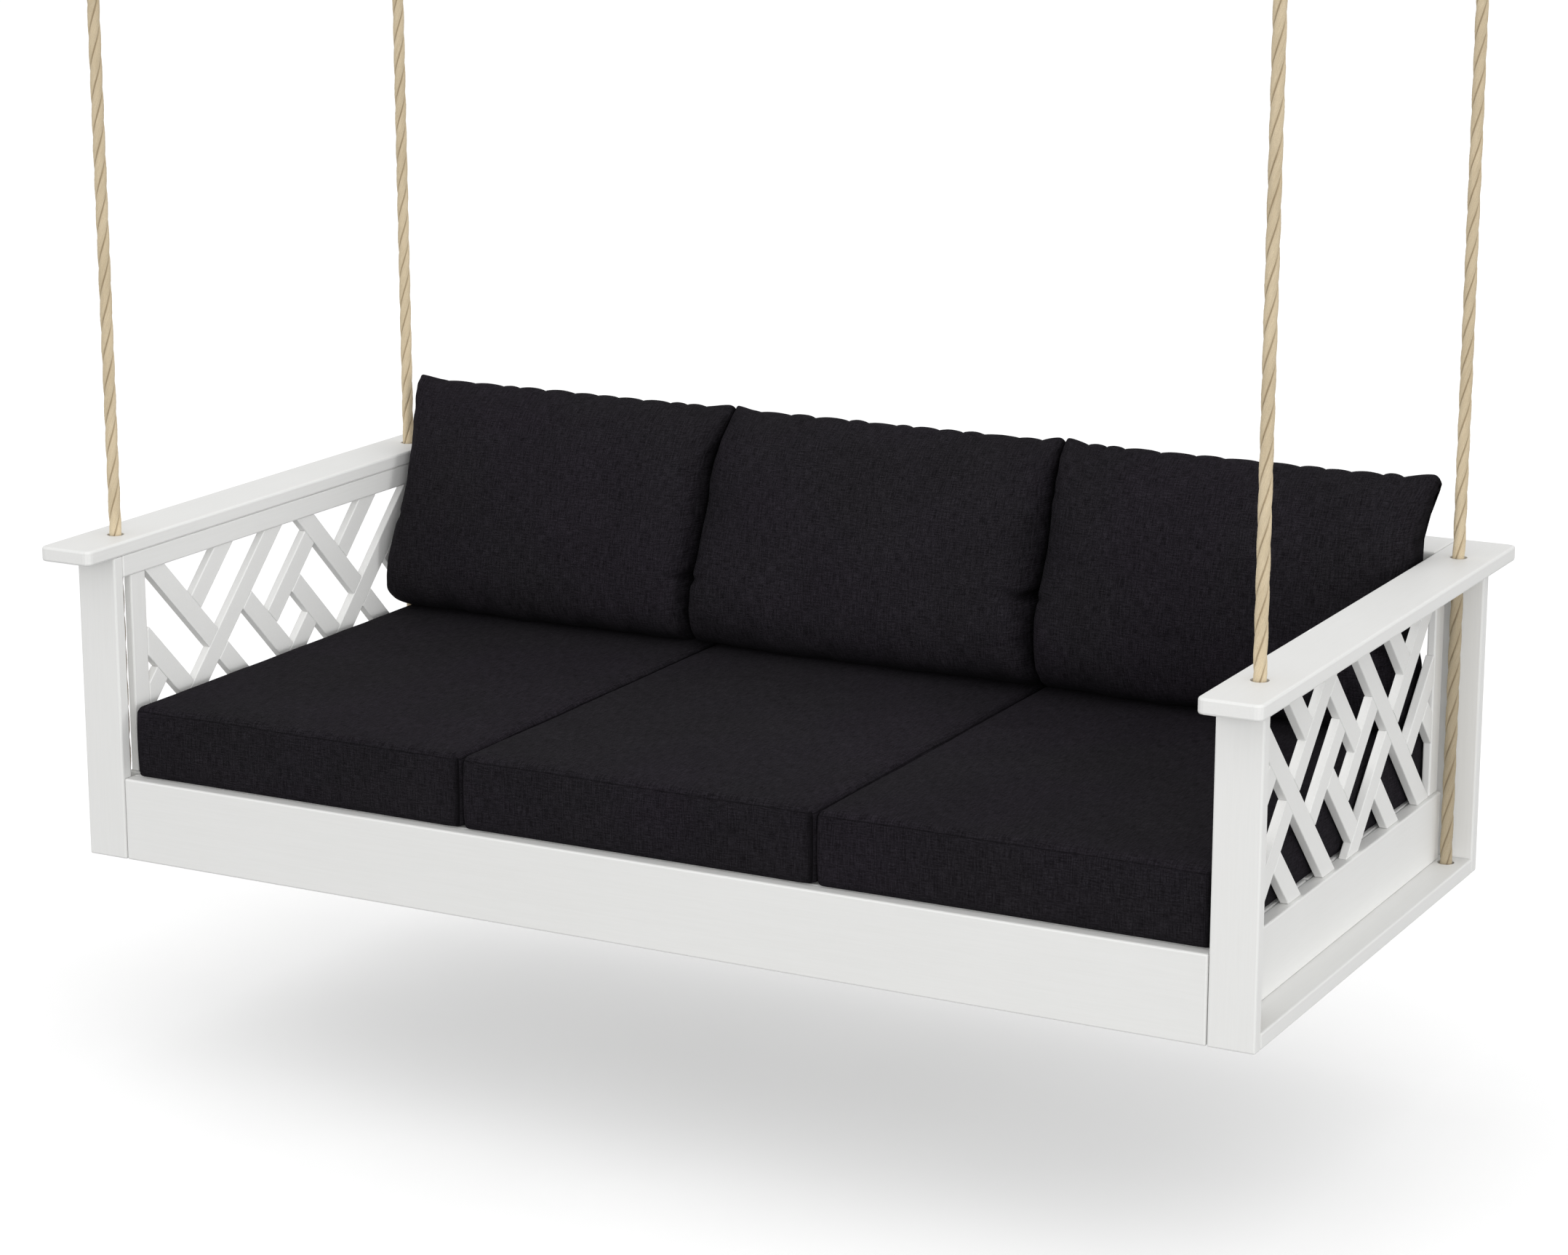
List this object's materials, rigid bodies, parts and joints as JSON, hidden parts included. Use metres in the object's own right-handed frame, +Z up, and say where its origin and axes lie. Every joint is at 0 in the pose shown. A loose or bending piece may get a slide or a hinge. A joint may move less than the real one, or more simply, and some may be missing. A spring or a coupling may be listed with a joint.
{
  "type": "porch swing seat",
  "caption": "White porch swing sofa with lattice ends and back, dark box seat cushions and loose back cushions, hung level from twisted ropes that swing fore and aft.",
  "frame": {"origin": "middle of the ceiling hangers' top faces, where the swing is held up", "axes": "+X along the seat, to the right for someone facing it; +Y to its back; +Z up"},
  "size_m": [2.1236, 1.141, 1.7352],
  "materials": {
    "white_lumber": "matte white recycled-plastic lumber",
    "charcoal_weave": "near-black woven outdoor fabric",
    "tan_rope": "tan three-strand twisted rope",
    "galvanised_steel": "dull galvanised steel"
  },
  "bodies": {
    "ceiling": {"ceiling_hanger_front_left": "galvanised_steel", "ceiling_hanger_back_left": "galvanised_steel", "ceiling_hanger_front_right": "galvanised_steel", "ceiling_hanger_back_right": "galvanised_steel"},
    "rope_front_left": {"hanging_rope_front_left": "tan_rope", "thimble_front_left": "galvanised_steel"},
    "rope_back_left": {"hanging_rope_back_left": "tan_rope", "thimble_back_left": "galvanised_steel"},
    "rope_front_right": {"hanging_rope_front_right": "tan_rope", "thimble_front_right": "galvanised_steel"},
    "rope_back_right": {"hanging_rope_back_right": "tan_rope", "thimble_back_right": "galvanised_steel"},
    "seat": {"arm_board_left": "white_lumber", "front_post_left": "white_lumber", "back_post_left": "white_lumber", "bottom_board_left": "white_lumber", "side_top_rail_left": "white_lumber", "side_bottom_rail_left": "white_lumber", "side_front_stile_left": "white_lumber", "side_back_stile_left": "white_lumber", "side_lattice_left": "white_lumber", "back_stile_left": "white_lumber", "deck_joist_left": "white_lumber", "arm_board_right": "white_lumber", "front_post_right": "white_lumber", "back_post_right": "white_lumber", "bottom_board_right": "white_lumber", "side_top_rail_right": "white_lumber", "side_bottom_rail_right": "white_lumber", "side_front_stile_right": "white_lumber", "side_back_stile_right": "white_lumber", "side_lattice_right": "white_lumber", "back_stile_right": "white_lumber", "deck_joist_right": "white_lumber", "back_top_board": "white_lumber", "front_apron": "white_lumber", "back_apron": "white_lumber", "back_top_rail": "white_lumber", "back_lattice": "white_lumber", "deck_slat_1": "white_lumber", "deck_slat_2": "white_lumber", "deck_slat_3": "white_lumber", "deck_slat_4": "white_lumber", "deck_slat_5": "white_lumber", "seat_cushion_left": "charcoal_weave", "seat_cushion_middle": "charcoal_weave", "seat_cushion_right": "charcoal_weave", "back_cushion_left": "charcoal_weave", "back_cushion_middle": "charcoal_weave", "back_cushion_right": "charcoal_weave", "lower_rope_front_left": "tan_rope", "lower_rope_back_left": "tan_rope", "lower_rope_front_right": "tan_rope", "lower_rope_back_right": "tan_rope", "rope_stop_front_left": "galvanised_steel", "rope_stop_back_left": "galvanised_steel", "rope_stop_front_right": "galvanised_steel", "rope_stop_back_right": "galvanised_steel"}
  },
  "joints": [
    {"name": "swing_front_left", "type": "hinge", "parent": "ceiling", "child": "rope_front_left", "pos_m": [-1.0068, -0.4387, -0.054], "axis": [1, 0, 0], "range_deg": [-15, 15]},
    {"name": "swing_back_left", "type": "hinge", "parent": "ceiling", "child": "rope_back_left", "pos_m": [-1.0068, 0.4387, -0.054], "axis": [1, 0, 0], "range_deg": [-15, 15]},
    {"name": "swing_front_right", "type": "hinge", "parent": "ceiling", "child": "rope_front_right", "pos_m": [1.0068, -0.4387, -0.054], "axis": [1, 0, 0], "range_deg": [-15, 15]},
    {"name": "swing_back_right", "type": "hinge", "parent": "ceiling", "child": "rope_back_right", "pos_m": [1.0068, 0.4387, -0.054], "axis": [1, 0, 0], "range_deg": [-15, 15]},
    {"name": "seat_level", "type": "hinge", "parent": "rope_front_left", "child": "seat", "pos_m": [-1.0068, -0.4387, -1.1965], "axis": [1, 0, 0], "range_deg": [-15, 15]}
  ],
  "couplings": [
    {"joint": "swing_back_left", "follows": "swing_front_left", "ratio": 1},
    {"joint": "swing_front_right", "follows": "swing_front_left", "ratio": 1},
    {"joint": "swing_back_right", "follows": "swing_front_left", "ratio": 1},
    {"joint": "seat_level", "follows": "swing_front_left", "ratio": -1}
  ]
}
